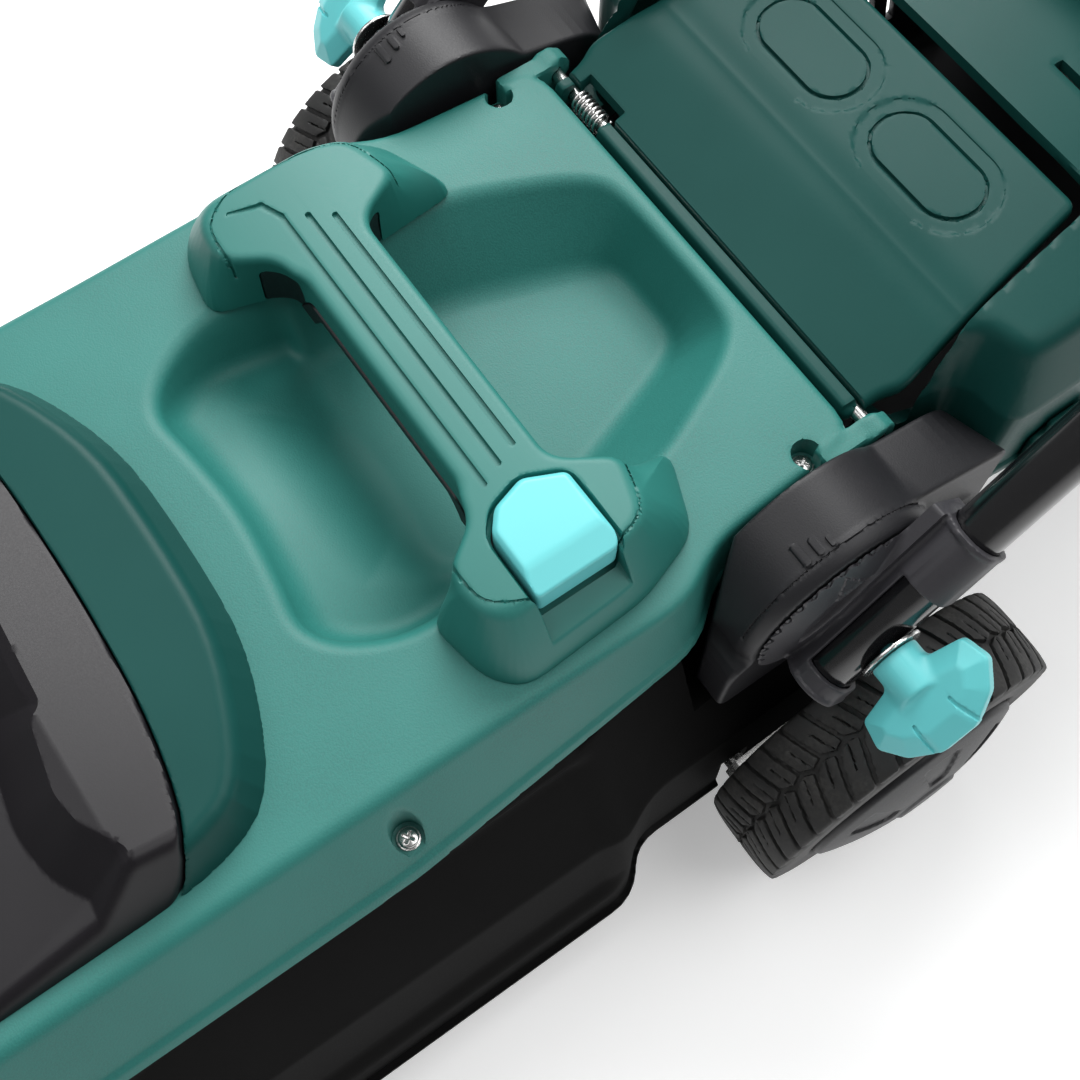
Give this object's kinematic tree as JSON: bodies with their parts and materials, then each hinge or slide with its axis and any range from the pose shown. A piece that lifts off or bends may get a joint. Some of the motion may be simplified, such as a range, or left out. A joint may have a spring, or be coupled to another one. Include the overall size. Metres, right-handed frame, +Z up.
{
  "type": "push lawn mower",
  "caption": "Walk-behind electric rotary mower: plastic deck with carry handle, blade, adjustable wheels, grass box and a folding, angle-adjustable push handle.",
  "frame": {"origin": "on the ground, under the middle of the machine's bounding box", "axes": "+Z up, -Y towards the front of the mower, +X towards the operator's left"},
  "size_m": [0.47, 1.1994, 0.9375],
  "materials": {
    "shell_green": "moulded, fine grain, satin",
    "flap_green": "moulded, semi-gloss",
    "control_turquoise": "moulded, satin",
    "black_plastic": "moulded, fine grain",
    "tyre_black": "matt, dusty",
    "zinc_steel": "zinc plated",
    "black_tube": "gloss powder coat",
    "motor_iron": "bare",
    "winding": "enamelled wire and iron",
    "foam": "foam sleeve"
  },
  "bodies": {
    "deck": {"deck_upper_shell": "shell_green", "deck_lower_shell": "black_plastic", "motor_hood_collar": "shell_green", "motor_hood_cover": "black_plastic", "carry_handle_cover": "shell_green", "carry_handle_insert": "black_plastic", "deck_screw_front_left": "zinc_steel", "deck_screw_front_right": "zinc_steel", "deck_screw_rear_left": "zinc_steel", "deck_screw_rear_right": "zinc_steel", "handle_bracket_left": "black_plastic", "handle_bracket_right": "black_plastic", "motor_stator": "winding", "motor_end_cap": "motor_iron", "motor_bearing_lower": "zinc_steel", "motor_bearing_upper": "zinc_steel", "flap_hinge_rod": "zinc_steel", "flap_spring": "zinc_steel"},
    "height_button": {"height_button": "control_turquoise"},
    "rotor": {"motor_shaft": "zinc_steel", "rotor_core": "winding", "cooling_fan": "black_plastic", "blade": "motor_iron", "blade_bolt": "zinc_steel"},
    "rear_axle": {"rear_axle": "zinc_steel"},
    "front_axle": {"front_axle": "zinc_steel"},
    "height_link": {"height_link_rod": "zinc_steel"},
    "wheel_front_left": {"wheel_front_left": "tyre_black", "hub_cap_front_left": "black_plastic"},
    "wheel_front_right": {"wheel_front_right": "tyre_black", "hub_cap_front_right": "black_plastic"},
    "wheel_rear_left": {"wheel_rear_left": "tyre_black", "hub_cap_rear_left": "black_plastic"},
    "wheel_rear_right": {"wheel_rear_right": "tyre_black", "hub_cap_rear_right": "black_plastic"},
    "discharge_flap": {"discharge_flap": "flap_green"},
    "grass_box": {"grass_box_lid": "shell_green", "grass_box_basket": "black_plastic", "grass_box_handle": "black_plastic", "grass_box_clip_left": "shell_green", "grass_box_clip_right": "shell_green"},
    "fill_indicator": {"fill_indicator": "control_turquoise"},
    "lower_handle": {"handle_holder_left": "black_plastic", "handle_holder_right": "black_plastic", "lower_tube_left": "black_tube", "lower_tube_right": "black_tube", "clamp_washer_left": "zinc_steel", "clamp_washer_right": "zinc_steel"},
    "angle_knob_left": {"angle_knob_left": "control_turquoise"},
    "angle_knob_right": {"angle_knob_right": "control_turquoise"},
    "upper_handle": {"upper_handle_tube": "black_tube", "switch_box": "black_plastic", "bail_bearing": "black_plastic", "handle_grip": "foam"},
    "fold_knob_left": {"fold_knob_left": "control_turquoise"},
    "fold_knob_right": {"fold_knob_right": "control_turquoise"},
    "bail": {"bail_lever": "black_tube"},
    "start_button": {"start_button": "control_turquoise"}
  },
  "joints": [
    {"name": "blade_spin", "type": "hinge", "parent": "deck", "child": "rotor", "pos_m": [0, -0.40372, 0.065], "axis": [0, 0, 1], "continuous": true},
    {"name": "height_button_press", "type": "slide", "parent": "deck", "child": "height_button", "axis": [0, 0, -1], "range_m": [0, 0.004], "stiffness_N_per_m": 400, "springref_m": -0.002},
    {"name": "rear_height", "type": "hinge", "parent": "deck", "child": "rear_axle", "pos_m": [0, -0.15268, 0.06647], "axis": [-1, 0, 0], "range_deg": [0, 30]},
    {"name": "front_height", "type": "hinge", "parent": "deck", "child": "front_axle", "pos_m": [0, -0.58168, 0.04947], "axis": [-1, 0, 0], "range_deg": [0, 30]},
    {"name": "height_link_swing", "type": "hinge", "parent": "rear_axle", "child": "height_link", "pos_m": [-0.1024, -0.15268, 0.15147], "axis": [-1, 0, 0], "range_deg": [-30, 0]},
    {"name": "wheel_front_left_spin", "type": "hinge", "parent": "front_axle", "child": "wheel_front_left", "pos_m": [0.189, -0.52372, 0.065], "axis": [1, 0, 0], "continuous": true},
    {"name": "wheel_front_right_spin", "type": "hinge", "parent": "front_axle", "child": "wheel_front_right", "pos_m": [-0.189, -0.52372, 0.065], "axis": [1, 0, 0], "continuous": true},
    {"name": "wheel_rear_left_spin", "type": "hinge", "parent": "rear_axle", "child": "wheel_rear_left", "pos_m": [0.2, -0.09472, 0.082], "axis": [1, 0, 0], "continuous": true},
    {"name": "wheel_rear_right_spin", "type": "hinge", "parent": "rear_axle", "child": "wheel_rear_right", "pos_m": [-0.2, -0.09472, 0.082], "axis": [1, 0, 0], "continuous": true},
    {"name": "flap_open", "type": "hinge", "parent": "deck", "child": "discharge_flap", "pos_m": [0, -0.06372, 0.224], "axis": [1, 0, 0], "range_deg": [0, 62], "stiffness_Nm_per_rad": 0.15, "springref_deg": -17.19},
    {"name": "grass_box_lift_off", "type": "slide", "parent": "deck", "child": "grass_box", "axis": [0, 0.9659, 0.2588], "range_m": [0, 0.35]},
    {"name": "fill_indicator_lift", "type": "hinge", "parent": "grass_box", "child": "fill_indicator", "pos_m": [0, 0.19628, 0.2623], "axis": [1, 0, 0], "range_deg": [0, 25]},
    {"name": "handle_angle", "type": "hinge", "parent": "deck", "child": "lower_handle", "pos_m": [0, -0.11172, 0.205], "axis": [-1, 0, 0], "range_deg": [-100, 10]},
    {"name": "angle_knob_left_turn", "type": "hinge", "parent": "lower_handle", "child": "angle_knob_left", "pos_m": [0.2, -0.11172, 0.205], "axis": [1, 0, 0], "continuous": true},
    {"name": "angle_knob_right_turn", "type": "hinge", "parent": "lower_handle", "child": "angle_knob_right", "pos_m": [-0.2, -0.11172, 0.205], "axis": [1, 0, 0], "continuous": true},
    {"name": "upper_handle_fold", "type": "hinge", "parent": "lower_handle", "child": "upper_handle", "pos_m": [0, 0.16759, 0.48431], "axis": [1, 0, 0], "range_deg": [0, 150]},
    {"name": "fold_knob_left_turn", "type": "hinge", "parent": "lower_handle", "child": "fold_knob_left", "pos_m": [0.2, 0.16759, 0.48431], "axis": [1, 0, 0], "continuous": true},
    {"name": "fold_knob_right_turn", "type": "hinge", "parent": "lower_handle", "child": "fold_knob_right", "pos_m": [-0.2, 0.16759, 0.48431], "axis": [1, 0, 0], "continuous": true},
    {"name": "bail_squeeze", "type": "hinge", "parent": "upper_handle", "child": "bail", "pos_m": [0, 0.4978, 0.83998], "axis": [-1, 0, 0], "range_deg": [0, 10], "stiffness_Nm_per_rad": 2, "springref_deg": -14.32},
    {"name": "start_button_press", "type": "slide", "parent": "upper_handle", "child": "start_button", "axis": [0, 0.7071, -0.7071], "range_m": [0, 0.003], "stiffness_N_per_m": 300, "springref_m": -0.002}
  ],
  "couplings": [
    {"joint": "front_height", "follows": "rear_height", "ratio": 1},
    {"joint": "height_link_swing", "follows": "rear_height", "ratio": -1}
  ]
}
